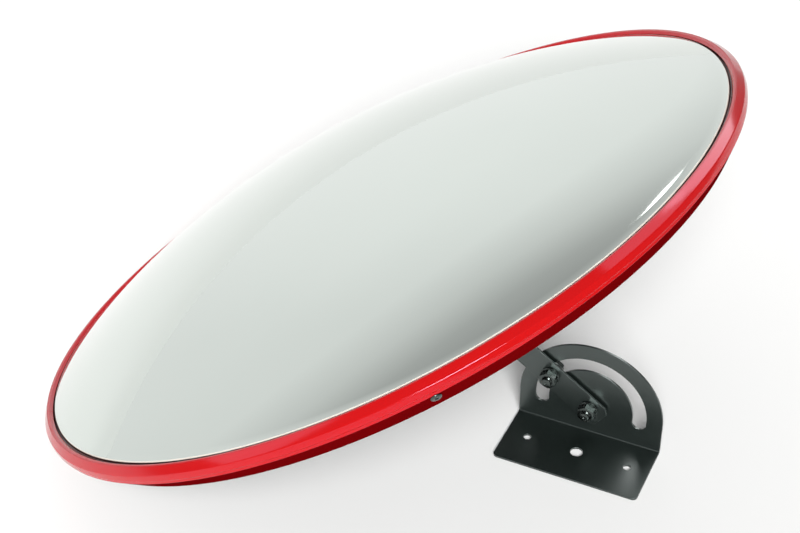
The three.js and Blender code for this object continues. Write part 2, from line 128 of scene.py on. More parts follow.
@dataclass(frozen=True)
class Finish:
    """A surface finish: a shader with its own colour, gloss and fine relief."""

    name: str
    colour: str
    roughness: float
    metallic: float = 0.0
    ior: float = 1.5
    specular: float = 0.5
    gloss_tint: str = "#FFFFFF"
    coat: float = 0.0
    coat_roughness: float = 0.1
    grain_mm: float = 1.0
    grain_height_mm: float = 0.01
    patch_mm: float = 30.0
    patch_roughness: float = 0.04
    shade: str = ""

    def material(self) -> bpy.types.Material:
        """Makes the finish's material, or returns the one made before."""
        known = bpy.data.materials.get(self.name)
        if known is not None:
            return known
        material = bpy.data.materials.new(self.name)
        material.use_nodes = True
        tree = material.node_tree
        tree.nodes.clear()
        place = add_node(tree, "ShaderNodeTexCoord").outputs["Object"]
        shader = add_node(tree, "ShaderNodeBsdfPrincipled")
        shader.inputs["Base Color"].default_value = linear(self.colour)
        shader.inputs["Metallic"].default_value = self.metallic
        shader.inputs["IOR"].default_value = self.ior
        shader.inputs["Specular IOR Level"].default_value = self.specular
        shader.inputs["Specular Tint"].default_value = linear(self.gloss_tint)
        shader.inputs["Coat Weight"].default_value = self.coat
        shader.inputs["Coat Roughness"].default_value = self.coat_roughness
        self.dress(tree, shader, place)
        add_node(tree, "ShaderNodeOutputMaterial", inputs={"Surface": shader.outputs[0]})
        return material

    def dress(self, tree: bpy.types.NodeTree, shader: bpy.types.Node, place: bpy.types.NodeSocket) -> None:
        """Adds the uneven gloss, the faint colour variation and the fine relief.

        Args:
            tree: The material's node tree.
            shader: The shader node to feed.
            place: Object coordinates.
        """
        patches = add_node(
            tree,
            "ShaderNodeTexNoise",
            inputs={"Vector": place, "Scale": 1.0 / (self.patch_mm * MM), "Detail": 4.0, "Roughness": 0.55},
        )
        gloss = add_node(
            tree,
            "ShaderNodeMapRange",
            inputs={
                "Value": patches.outputs["Fac"],
                "From Min": 0.3,
                "From Max": 0.7,
                "To Min": max(0.0, self.roughness - self.patch_roughness),
                "To Max": self.roughness + self.patch_roughness,
            },
        )
        tree.links.new(gloss.outputs["Result"], shader.inputs["Roughness"])
        if self.shade:
            tint = add_node(
                tree,
                "ShaderNodeMix",
                {"data_type": "RGBA"},
                {"Factor": patches.outputs["Fac"], "A": linear(self.colour), "B": linear(self.shade)},
            )
            tree.links.new(tint.outputs["Result"], shader.inputs["Base Color"])
        grain = add_node(
            tree,
            "ShaderNodeTexNoise",
            inputs={"Vector": place, "Scale": 1.0 / (self.grain_mm * MM), "Detail": 2.0},
        )
        relief = add_node(
            tree,
            "ShaderNodeBump",
            inputs={"Height": grain.outputs["Fac"], "Distance": self.grain_height_mm * MM, "Strength": 1.0},
        )
        tree.links.new(relief.outputs["Normal"], shader.inputs["Normal"])


# Glossy plasticised PVC, extruded and bent round the rim: clear highlights, slow waves of the extruder.
EDGING_VINYL = Finish(
    "extruded_red_vinyl", "#B90A05", 0.12, ior=1.5, gloss_tint="#FFD2F2",
    grain_mm=14.0, grain_height_mm=0.02, patch_mm=60.0, patch_roughness=0.03, shade="#B4090A",
)
# The same red vinyl on the skirt behind the back lip, painted deeper red with its gloss taken away: painted
# shade where the skirt faces down, away from the lights; half matt.
EDGING_SKIRT_PAINTED_SHADE = Finish(
    "red_vinyl_skirt_painted_shade", "#700407", 0.5, ior=1.5, specular=0.0,
    grain_mm=5.0, grain_height_mm=0.02, patch_mm=60.0, patch_roughness=0.05, shade="#620306",
)
# Back-silvered acrylic, thermoformed: a cool, slightly green reflection with very faint waves.
SILVERED_ACRYLIC = Finish(
    "silvered_acrylic", "#D5DBD6", 0.03, metallic=1.0,
    grain_mm=45.0, grain_height_mm=0.012, patch_mm=120.0, patch_roughness=0.012, shade="#D1D8D3",
)
# Unsilvered acrylic lip, cut after forming: milky white and half matt.
BARE_ACRYLIC = Finish(
    "bare_acrylic_lip", "#EFEDE4", 0.3, ior=1.49, grain_mm=1.5, grain_height_mm=0.01, shade="#E6E2D4",
)
# Unsilvered flange of the same acrylic, seen over the dark foam: nearly black and glossy, with a maroon cast
# that is a painted reflection of the red edging above it.
DARK_FLANGE_PAINTED_REFLECTION = Finish(
    "acrylic_over_foam_painted_reflection", "#3A1416", 0.3, ior=1.49, specular=0.3, grain_mm=4.0, grain_height_mm=0.006,
    shade="#301013",
)
# Black polyester powder coat, sprayed and baked: half gloss with barely any orange peel.
POWDER_COAT = Finish(
    "black_powder_coat", "#0C1110", 0.34, ior=1.7, gloss_tint="#DDF4EE", coat=1.0, coat_roughness=0.3,
    grain_mm=1.6, grain_height_mm=0.001, patch_mm=22.0, patch_roughness=0.02, shade="#131917",
)
# Steel, zinc plated and turned black in a bath: dark metal with sharp small glints.
BLACK_ZINC = Finish(
    "black_zinc_plate", "#4A504E", 0.26, metallic=1.0,
    grain_mm=0.6, grain_height_mm=0.006, patch_mm=3.0, patch_roughness=0.08, shade="#5E6462",
)
# Steel, bright zinc plated: pale metal, slightly grained.
BRIGHT_ZINC = Finish(
    "bright_zinc_plate", "#C9CCCB", 0.28, metallic=1.0,
    grain_mm=0.5, grain_height_mm=0.006, patch_mm=3.0, patch_roughness=0.08, shade="#B4B8B8",
)
# Black polypropylene, injection-moulded in a spark-eroded mould: half matt and finely grained.
MOULDED_SHELL = Finish(
    "moulded_black_polypropylene", "#161717", 0.55, ior=1.49,
    grain_mm=0.9, grain_height_mm=0.03, patch_mm=50.0, patch_roughness=0.05, shade="#1C1D1D",
)
# Closed-cell foam, slit into a strip: matt and dark olive.
CUSHION_FOAM = Finish(
    "closed_cell_foam", "#2A2B22", 0.9, ior=1.45,
    grain_mm=0.8, grain_height_mm=0.08, patch_mm=12.0, patch_roughness=0.04, shade="#202119",
)
# Pale painted studio floor: matt, almost white.
STUDIO_FLOOR = Finish(
    "pale_studio_floor", "#F8F8F7", 0.85, specular=0.2,
    grain_mm=3.0, grain_height_mm=0.01, patch_mm=400.0, patch_roughness=0.03,
)


# ---------------------------------------------------------------- outlines


def arc(centre: Point, radius: float, start: float, end: float, steps: int) -> list[Point]:
    """Points of a circular arc.

    Args:
        centre: The arc's centre.
        radius: The arc's radius.
        start: First angle, in degrees.
        end: Last angle, in degrees.
        steps: Number of chords.

    Returns:
        The points from the first angle to the last.
    """
    angles = [math.radians(start + (end - start) * i / steps) for i in range(steps + 1)]
    return [(centre[0] + radius * math.cos(a), centre[1] + radius * math.sin(a)) for a in angles]


def hole(centre: Point, radius: float) -> list[Point]:
    """Outline of a round hole.

    Args:
        centre: The hole's centre.
        radius: The hole's radius.

    Returns:
        The outline's points, the first not repeated.
    """
    return arc(centre, radius, 0, 360.0 - 360.0 / HOLE_POINTS, HOLE_POINTS - 1)


def rounded(corners: Iterable[tuple[float, float, float]], steps: int = 5) -> list[Point]:
    """Rounds the corners of a closed outline.

    Args:
        corners: Each corner's two coordinates and its rounding radius.
        steps: Chords in each rounding.

    Returns:
        The rounded outline's points.
    """
    points: list[Point] = []
    listed = list(corners)
    for i, (u, v, radius) in enumerate(listed):
        here = Vector((u, v))
        back = Vector(listed[i - 1][:2]) - here
        ahead = Vector(listed[(i + 1) % len(listed)][:2]) - here
        half = back.angle(ahead) / 2.0
        longest = 0.48 * min(back.length, ahead.length)
        cut = min(radius / max(math.tan(half), TINY), longest)
        if radius <= 0.0 or cut < WELD or half > math.radians(89.0):
            points.append((u, v))
            continue
        first = here + back.normalized() * cut
        last = here + ahead.normalized() * cut
        for step in range(steps + 1):
            t = step / steps
            spot = first * (1 - t) ** 2 + here * (2 * t * (1 - t)) + last * t**2
            points.append((spot.x, spot.y))
    return points


# ---------------------------------------------------------------- mesh work


class RingShape(Enum):
    """Outline of one ring of a turned or milled piece."""

    ROUND = "round"
    HEXAGON = "hexagon"
    CROSS = "cross"


class Ring(NamedTuple):
    """One level of a stacked piece: its size, its height and its outline."""

    size: float
    height: float
    shape: RingShape = RingShape.ROUND
    chamfer: float = 0.0

    def reach(self, angle: float) -> float:
        """Distance from the axis to the outline.

        Args:
            angle: Angle round the axis, in radians.

        Returns:
            The distance, in millimetres.
        """
        if self.shape is RingShape.HEXAGON:
            return self.size / math.cos((angle % (TURN / 6)) - TURN / 12)
        if self.shape is RingShape.CROSS:
            off_arm = abs((angle + TURN / 8) % (TURN / 4) - TURN / 8)
            return min(self.size / math.cos(off_arm), 0.3 * self.size / max(math.sin(off_arm), TINY))
        return self.size

    def spot(self, angle: float) -> Vector:
        """One point of the outline, lowered or raised where the outline reaches past its size.

        Args:
            angle: Angle round the axis, in radians.

        Returns:
            The point, in millimetres.
        """
        reach = self.reach(angle)
        drop = self.chamfer * max(0.0, reach - self.size)
        return Vector((reach * math.cos(angle), reach * math.sin(angle), self.height + drop))


def stacked(rings: list[Ring], closed: bool, segments: int = 48) -> BMesh:
    """Builds a bolt, nut, washer or screw from rings, extruding each ring from the last.

    Args:
        rings: The rings in order along the surface.
        closed: True for a ring-shaped piece whose last ring meets its first.
        segments: Points round each ring.

    Returns:
        The closed mesh, in millimetres.
    """
    bm = bmesh.new()
    bmesh.ops.create_circle(bm, cap_ends=False, segments=segments, radius=1.0)
    loop: list[BMEdge] = list(bm.edges)
    verts: list[BMVert] = list(bm.verts)
    for number, ring in enumerate([*rings, rings[0]] if closed else rings):
        if number:
            made = bmesh.ops.extrude_edge_only(bm, edges=loop)["geom"]
            verts = [g for g in made if isinstance(g, BMVert)]
            loop = [g for g in made if isinstance(g, BMEdge)]
        for vert in verts:
            vert.co = ring.spot(math.atan2(vert.co.y, vert.co.x))
        if number == 0 and not closed:
            bmesh.ops.edgeloop_fill(bm, edges=loop)
    if closed:
        bmesh.ops.remove_doubles(bm, verts=bm.verts, dist=WELD)
    else:
        bmesh.ops.edgeloop_fill(bm, edges=loop)
    bmesh.ops.recalc_face_normals(bm, faces=bm.faces)
    return bm


def spun(profile: list[Point], steps: int, opening_degrees: float = 0.0, start_degrees: float = 0.0) -> BMesh:
    """Spins a closed profile about Z, leaving a narrow opening if one is asked for.

    Args:
        profile: Radius and height of each point of the closed profile.
        steps: Steps round the turn.
        opening_degrees: Width of the opening, zero for a full ring.
        start_degrees: Where the ring starts.

    Returns:
        The closed mesh, in millimetres.
    """
    bm = bmesh.new()
    verts = [bm.verts.new((radius, 0.0, height)) for radius, height in profile]
    edges = [bm.edges.new((a, b)) for a, b in zip(verts, verts[1:] + verts[:1])]
    turned = Matrix.Rotation(math.radians(start_degrees), 3, "Z")
    bmesh.ops.rotate(bm, cent=(0, 0, 0), matrix=turned, verts=bm.verts)
    bmesh.ops.spin(
        bm,
        geom=[*bm.verts, *edges],
        cent=(0, 0, 0),
        axis=(0, 0, 1),
        dvec=(0, 0, 0),
        angle=TURN - math.radians(opening_degrees),
        steps=steps,
        use_merge=opening_degrees == 0.0,
        use_normal_flip=False,
        use_duplicate=False,
    )
    bmesh.ops.remove_doubles(bm, verts=bm.verts, dist=WELD)
    if opening_degrees:
        rim = [e for e in bm.edges if e.is_boundary]
        bmesh.ops.holes_fill(bm, edges=rim, sides=0)
    bmesh.ops.recalc_face_normals(bm, faces=bm.faces)
    return bm


def sheet_blank(outline: list[Point], holes: list[list[Point]]) -> BMesh:
    """Cuts a flat blank with holes, facing up.

    Args:
        outline: The outer outline.
        holes: The outline of each hole.

    Returns:
        The flat mesh, in millimetres.
    """
    bm = bmesh.new()
    for loop in (outline, *holes):
        verts = [bm.verts.new((u, v, 0.0)) for u, v in loop]
        for a, b in zip(verts, verts[1:] + verts[:1]):
            bm.edges.new((a, b))
    bmesh.ops.triangle_fill(bm, use_beauty=True, use_dissolve=False, edges=bm.edges[:], normal=(0, 0, 1))
    for face in bm.faces:
        if face.normal.z < 0:
            face.normal_flip()
    return bm


def fold_strip(radius: float) -> float:
    """Width of each flat strip that makes up a right-angled fold.

    Args:
        radius: Radius inside the fold.

    Returns:
        The width, in millimetres.
    """
    return radius / sum(math.cos(k * FOLD_TURN) for k in range(1, FOLD_PARTS + 1))


def fold(bm: BMesh, line: float, radius: float) -> None:
    """Folds a flat blank up through a right angle, along a line of constant Y.

    Args:
        bm: The flat blank.
        line: Where the fold starts.
        radius: Radius inside the fold.
    """
    lines = [line + k * fold_strip(radius) for k in range(FOLD_PARTS + 1)]
    for y in lines:
        geom = [*bm.verts, *bm.edges, *bm.faces]
        bmesh.ops.bisect_plane(bm, geom=geom, dist=1e-5, plane_co=(0, y, 0), plane_no=(0, 1, 0))
    groups = [[v for v in bm.verts if v.co.y > y + WELD] for y in lines]
    turn = Matrix.Rotation(FOLD_TURN, 3, "X")
    for y, group in reversed(list(zip(lines, groups))):
        bmesh.ops.rotate(bm, cent=(0, y, 0), matrix=turn, verts=group)


@dataclass(frozen=True)
class Fitter:
    """Turns finished meshes into named pieces that ride on one body."""

    body: str
    place: Matrix

    def fit(
        self,
        name: str,
        bm: BMesh,
        finishes: list[Finish],
        smooth_degrees: float = 35.0,
        local: Matrix | None = None,
        choose: Callable[[Vector], int] | None = None,
    ) -> bpy.types.Object:
        """Places a mesh, dresses it, and lets it stand for the CAD node of its name.

        Args:
            name: The CAD node that the piece stands for.
            bm: The mesh in millimetres, which is freed.
            finishes: The finishes that the piece has.
            smooth_degrees: Edges sharper than this stay sharp.
            local: Where the mesh sits on the sub-assembly, in millimetres.
            choose: Gives the finish number of a face from its middle, in millimetres.

        Returns:
            The finished piece.
        """
        if choose:
            for face in bm.faces:
                face.material_index = choose(face.calc_center_median())
        if local is not None:
            bm.transform(local)
        bm.transform(self.place @ Matrix.Scale(MM, 4))
        mesh = bpy.data.meshes.new(f"{name}_finished")
        bm.to_mesh(mesh)
        bm.free()
        for finish in finishes:
            mesh.materials.append(finish.material())
        mesh.shade_smooth()
        mesh.set_sharp_from_angle(angle=math.radians(smooth_degrees))
        piece = bpy.data.objects.new(f"{name}_finished", mesh)
        bpy.context.scene.collection.objects.link(piece)
        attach(piece, self.body)
        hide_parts(name)
        LOG.info("%s: %d faces on %s", piece.name, len(mesh.polygons), self.body)
        return piece


def soften(piece: bpy.types.Object, width_mm: float, segments: int = 3, degrees: float = 40.0) -> None:
    """Rounds a piece's sharp edges and keeps its flats looking flat.

    Args:
        piece: The piece.
        width_mm: Width of the rounding.
        segments: Strips in the rounding.
        degrees: Edges sharper than this are rounded.
    """
    bevel = piece.modifiers.new("edge_rounding", "BEVEL")
    bevel.width = width_mm * MM
    bevel.segments = segments
    bevel.limit_method = "ANGLE"
    bevel.angle_limit = math.radians(degrees)
    bevel.loop_slide = False
    bevel.use_clamp_overlap = False
    bevel.harden_normals = True


def thicken(piece: bpy.types.Object, thickness_mm: float) -> None:
    """Gives a sheet its thickness, behind the face that was drawn.

    Args:
        piece: The piece.
        thickness_mm: Thickness of the sheet.
    """
    wall = piece.modifiers.new("sheet_thickness", "SOLIDIFY")
    wall.thickness = thickness_mm * MM
    wall.offset = -1.0
    wall.use_even_offset = True


# ---------------------------------------------------------------- places


def joint(name: str) -> dict[str, Any]:
    """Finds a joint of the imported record.

    Args:
        name: The joint's name.

    Returns:
        The joint, with its place and its axis.
    """
    return next(j for j in frame["joints"] if j["name"] == name)


def along(origin: Vector, x_axis: Vector, z_axis: Vector) -> Matrix:
    """Makes a placement from its origin and two of its axes.

    Args:
        origin: Where the placement stands.
        x_axis: Way of its X axis, of any length.
        z_axis: Way of its Z axis, square to the first.

    Returns:
        The placement.
    """
    x, z = x_axis.normalized(), z_axis.normalized()
    turn = Matrix((x, z.cross(x), z)).transposed()
    return Matrix.Translation(origin) @ turn.to_4x4()


def mirror_place() -> Matrix:
    """The mirror's own axes: Z out of its face, Y along the row's Y."""
    swivel = joint("mirror_swivel")
    axis = Vector(swivel["axis"])
    return along(Vector(swivel["pos_m"]), Vector((0, 1, 0)).cross(axis), axis)


def arm_place() -> Matrix:
    """The arm's own axes: X from the pivot to the head pin, Z towards the nuts."""
    pivot, pin = Vector(joint("arm_tilt")["pos_m"]), Vector(joint("head_tilt")["pos_m"])
    run = Vector((pin.x - pivot.x, 0, pin.z - pivot.z))
    return along(Vector((pivot.x, 0, pivot.z)), run, Vector((0, -1, 0)))


# ---------------------------------------------------------------- hardware


@dataclass(frozen=True)
class Fasteners:
    """M8 bolts, nuts and washers, and small pan-head screws, sizes in millimetres."""

    bolt_radius: float = 4.0
    thread_root: float = 3.45
    thread_pitch: float = 1.25
    thread_length: float = 14.0
    across_flats: float = 12.99
    head_height: float = 5.3
    nut_height: float = 6.5
    bore_radius: float = 4.05
    washer_bore: float = BOLT_CLEARANCE
    washer_thickness: float = 1.6
    slide_gap: float = 0.05
    screw_pitch: float = 1.1

    def bolt(self, tip: float, face: float) -> BMesh:
        """Hex bolt along Z: the thread's tip is up, the head hangs below its face.

        Args:
            tip: Height of the thread's end.
            face: Height of the face under the head.

        Returns:
            The closed mesh.
        """
        flat, low = self.across_flats / 2, face - self.head_height
        hexagon = RingShape.HEXAGON
        rings = [
            Ring(0.6, low),
            Ring(flat * 0.94, low),
            Ring(flat, low + 0.05, hexagon, 0.55),
            Ring(flat, face - 0.3, hexagon),
            Ring(flat * 0.97, face),
            Ring(self.bolt_radius, face),
        ]
        start = tip - self.thread_length
        rings.append(Ring(self.bolt_radius, start))
        turns = int((tip - 1.0 - start) / self.thread_pitch)
        for turn in range(turns):
            level = start + (turn + 0.25) * self.thread_pitch
            rings.append(Ring(self.thread_root, level + self.thread_pitch * 0.25))
            rings.append(Ring(self.thread_root, level + self.thread_pitch * 0.35))
            rings.append(Ring(self.bolt_radius, level + self.thread_pitch * 0.6))
            rings.append(Ring(self.bolt_radius, level + self.thread_pitch * 0.75))
        rings += [Ring(3.75, tip - 0.35), Ring(3.2, tip)]
        rings += [Ring(1.1, tip), Ring(0.7, tip - 0.4), Ring(0.3, tip - 0.5)]
        return stacked(rings, closed=False)

    def nut(self, low: float) -> BMesh:
        """Hex nut along Z, with both faces chamfered.

        Args:
            low: Height of the face that it stands on.

        Returns:
            The closed mesh.
        """
        high, flat = low + self.nut_height, self.across_flats / 2
        hexagon = RingShape.HEXAGON
        rings = [
            Ring(self.bore_radius + 0.35, low),
            Ring(flat * 0.95, low),
            Ring(flat, low + 0.12, hexagon, 0.5),
            Ring(flat, high - 0.12, hexagon, -0.5),
            Ring(flat * 0.95, high),
            Ring(self.bore_radius + 0.45, high),
            Ring(self.bore_radius, high - 0.4),
            Ring(self.bore_radius, low + 0.35),
        ]
        return stacked(rings, closed=True)

    def washer(self, low: float, high: float, radius: float = WASHER_RADIUS) -> BMesh:
        """Flat washer along Z, punched, with slightly rounded outer edges.

        Args:
            low: Height of the lower face.
            high: Height of the upper face.
            radius: Outer radius.

        Returns:
            The closed mesh.
        """
        rings = [
            Ring(self.washer_bore, low),
            Ring(radius - 0.25, low),
            Ring(radius - 0.07, low + 0.07),
            Ring(radius, low + 0.25),
            Ring(radius, high - 0.2),
            Ring(radius - 0.07, high - 0.05),
            Ring(radius - 0.2, high),
            Ring(self.washer_bore + 0.15, high),
            Ring(self.washer_bore, high - 0.15),
        ]
        return stacked(rings, closed=True)

    def pan_screw(self, radius: float, height: float, shank: float, length: float) -> BMesh:
        """Cross-recessed screw along Z: the head hangs below height 0.

        Args:
            radius: Radius of the head.
            height: Height of the head.
            shank: Radius of the shank.
            length: Length of the shank.

        Returns:
            The closed mesh.
        """
        cross = RingShape.CROSS
        rings = [
            Ring(radius * 0.3, -height * 0.35, cross),
            Ring(radius * 0.5, -height, cross),
            Ring(radius * 0.66, -height * 0.985),
            Ring(radius * 0.8, -height * 0.9),
            Ring(radius * 0.92, -height * 0.7),
            Ring(radius * 0.98, -height * 0.4),
            Ring(radius, -height * 0.15),
            Ring(radius * 0.98, 0.0),
            Ring(shank, 0.0),
        ]
        for turn in range(int(length / self.screw_pitch)):
            level = (turn + 0.5) * self.screw_pitch
            rings += [Ring(shank, level - 0.2), Ring(shank * 0.75, level + 0.2)]
        rings.append(Ring(0.2, length))
        return stacked(rings, closed=False)


@dataclass(frozen=True)
class ClampStack:
    """One bolt with its washers and nut, stacked towards the nuts from the bolt's head."""

    prefix: str
    offset: float
    head_face: float
    back_washer: Point
    front_washer: Point
    spacer: Point | None = None
    tip_beyond_nut: float = 3.0
    nut_turn_degrees: float = 11.0

    def build(self, fitter: Fitter, fasteners: Fasteners, base: Matrix) -> None:
        """Builds and dresses the stack.

        Args:
            fitter: Fits the pieces to their body.
            fasteners: Makes the pieces.
            base: Where the bolt's axis stands, in millimetres.
        """
        local = base @ Matrix.Translation((self.offset, 0, 0))
        turned = local @ Matrix.Rotation(math.radians(self.nut_turn_degrees), 4, "Z")
        top = self.front_washer[1]
        nut_top = top + fasteners.nut_height
        plate, slot = [BLACK_ZINC], "hardware_zinc"
        bolt = fasteners.bolt(nut_top + self.tip_beyond_nut, self.head_face)
        fitter.fit(f"{self.prefix}_bolt", bolt, plate, local=local)
        fitter.fit(f"{self.prefix}_nut", fasteners.nut(top), plate, local=turned)
        back = fasteners.washer(*self.back_washer)
        fitter.fit(f"{self.prefix}_back_washer", back, plate, local=local)
        front = fasteners.washer(*self.front_washer)
        fitter.fit(f"{self.prefix}_front_washer", front, plate, local=local)
        if self.spacer:
            spacer = fasteners.washer(*self.spacer)
            fitter.fit(f"{self.prefix}_spacer", spacer, plate, local=local)


# ---------------------------------------------------------------- bracket


@dataclass(frozen=True)
class BracketPlate:
    """The folded base plate with its slotted half-round upright, sizes in millimetres."""

    width: float = 120.0
    front: float = -46.0
    upright_front: float = 12.0
    sheet: float = 2.0
    fold_radius: float = 1.2
    corner_radius: float = 4.0
    pivot_height: float = 28.5
    slot_radius: float = 41.0
    slot_half_width: float = 5.7
    slot_ends: Point = (-5.0, 185.0)
    hole_row: float = -15.0
    side_hole_offset: float = 42.0
    side_hole_radius: float = 3.0
    middle_hole_radius: float = 5.0

    def outline(self) -> list[Point]:
        """The flat blank's outline: base corners, then the half disc."""
        half, corner = self.width / 2, self.corner_radius
        rise = self.flat_height(self.pivot_height)
        left = arc((-half + corner, self.front + corner), corner, 180, 270, 12)
        right = arc((half - corner, self.front + corner), corner, 270, 360, 12)
        return [*left, *right, *arc((0, rise), half, 0, 180, 96)]

    def flat_height(self, height: float) -> float:
        """Finds where a height on the upright lies on the flat blank.

        Args:
            height: Height above the base plate's underside.

        Returns:
            The place along the blank.
        """
        fold_end = self.upright_front - self.fold_radius + FOLD_PARTS * fold_strip(self.fold_radius)
        return fold_end + height - self.sheet - self.fold_radius

    def slot(self) -> list[Point]:
        """The arc slot's outline on the flat blank, with round ends."""
        rise = self.flat_height(self.pivot_height)
        wide, narrow = self.slot_radius + self.slot_half_width, self.slot_radius - self.slot_half_width
        first, last = self.slot_ends
        start, end = (arc((0, rise), self.slot_radius, a, a, 1)[0] for a in self.slot_ends)
        return [
            *arc((0, rise), wide, first, last, 84),
            *arc(end, self.slot_half_width, last, last + 180, 14)[1:-1],
            *arc((0, rise), narrow, last, first, 84),
            *arc(start, self.slot_half_width, first + 180, first + 360, 14)[1:-1],
        ]

    def holes(self) -> list[list[Point]]:
        """The base's screw holes, the pivot's hole and the slot."""
        return [
            hole((-self.side_hole_offset, self.hole_row), self.side_hole_radius),
            hole((0.0, self.hole_row), self.middle_hole_radius),
            hole((self.side_hole_offset, self.hole_row), self.side_hole_radius),
            hole((0.0, self.flat_height(self.pivot_height)), BOLT_CLEARANCE),
            self.slot(),
        ]

    def build(self) -> None:
        """Cuts, folds, thickens and paints the plate."""
        bm = sheet_blank(self.outline(), self.holes())
        fold(bm, self.upright_front - self.fold_radius, self.fold_radius)
        bmesh.ops.translate(bm, verts=bm.verts, vec=(0, 0, self.sheet))
        fitter = Fitter("bracket", Matrix.Identity(4))
        piece = fitter.fit("bracket_plate", bm, [POWDER_COAT])
        thicken(piece, self.sheet)
        soften(piece, 0.35)


# ---------------------------------------------------------------- arm


@dataclass(frozen=True)
class TiltArm:
    """The flat arm and the two bolts that clamp it to the upright, sizes in millimetres.

    Heights run towards the nuts: minus 14 is the upright's back and minus 8 the arm's front.
    """

    length: float = 160.0
    width: float = 23.5
    overhang: float = 13.0
    corner: float = 4.5
    corner_rounding: float = 1.0
    front: float = -8.0
    sheet: float = 2.0
    lock_offset: float = 41.0
    fasteners: Fasteners = field(default_factory=Fasteners)

    def outline(self) -> list[Point]:
        """The strip's outline with its cut corners."""
        half, low, high, cut = self.width / 2, -self.overhang, self.length + self.overhang - 1, self.corner
        corners = [
            (low + cut, -half), (high - cut, -half), (high, -half + cut), (high, half - cut),
            (high - cut, half), (low + cut, half), (low, half - cut), (low, -half + cut),
        ]
        return rounded((u, v, self.corner_rounding) for u, v in corners)

    def build(self) -> None:
        """Builds the arm with its pivot and lock stacks."""
        holes = [hole((x, 0), BOLT_CLEARANCE) for x in (0.0, self.lock_offset, self.length)]
        bm = sheet_blank(self.outline(), holes)
        bmesh.ops.translate(bm, verts=bm.verts, vec=(0, 0, self.front))
        fitter = Fitter("arm", arm_place())
        piece = fitter.fit("tilt_arm", bm, [POWDER_COAT])
        thicken(piece, self.sheet)
        soften(piece, 0.3)
        for prefix, offset in (("pivot", 0.0), ("lock", self.lock_offset)):
            stack = ClampStack(
                prefix, offset, head_face=-15.65, back_washer=(-15.65, -14.05),
                front_washer=(-8.0, -6.4), spacer=(-11.95, -10.0),
            )
            stack.build(fitter, self.fasteners, Matrix.Identity(4))


# ---------------------------------------------------------------- head


@dataclass(frozen=True)
class HeadBracket:
    """The folded foot and ear that join the arm to the mirror's centre, sizes in millimetres."""

    sheet: float = 2.5
    fold_radius: float = 1.2
    axis_y: float = -0.5
    ear_near: float = 10.8
    foot_near: float = -13.5
    foot_front: float = -22.75
    pin_offset: float = 21.8
    pin_depth: float = 55.7
    ear_half: float = 13.0
    left: float = -16.0
    right: float = 36.0
    corner_radius: float = 4.0
    shoulder_rise: float = 4.0
    fasteners: Fasteners = field(default_factory=Fasteners)

    def build(self) -> None:
        """Builds the folded bracket and its pin."""
        rear = self.foot_front - self.sheet
        line = self.ear_near - self.fold_radius
        fold_end = line + FOLD_PARTS * fold_strip(self.fold_radius)
        rise = fold_end + (rear - self.fold_radius) + self.pin_depth
        shoulder = fold_end + self.shoulder_rise
        foot = [
            (self.left, self.foot_near, self.corner_radius),
            (self.right, self.foot_near, self.corner_radius),
            (self.right, shoulder, 0.0),
        ]
        ear = arc((self.pin_offset, rise), self.ear_half, 0, 180, 32)
        holes = [hole((0, 0), BOLT_CLEARANCE), hole((self.pin_offset, rise), BOLT_CLEARANCE)]
        bm = sheet_blank([*rounded(foot), *ear, (self.left, shoulder)], holes)
        fold(bm, line, self.fold_radius)
        flip = Matrix.Translation((0, 0, rear)) @ Matrix.Scale(-1, 4, (0, 0, 1))
        bm.transform(flip)
        bmesh.ops.reverse_faces(bm, faces=bm.faces)
        fitter = Fitter("head", mirror_place())
        piece = fitter.fit("head_bracket", bm, [POWDER_COAT])
        thicken(piece, self.sheet)
        soften(piece, 0.35)
        pin = Matrix.Translation((self.pin_offset, -self.axis_y, -self.pin_depth))
        to_nuts = pin @ Matrix.Rotation(math.radians(90.0), 4, "X")
        stack = ClampStack(
            "head", 0.0, head_face=-14.4, back_washer=(-14.4, -12.8), front_washer=(-7.95, -6.35),
        )
        stack.build(fitter, self.fasteners, to_nuts)


# ---------------------------------------------------------------- mirror


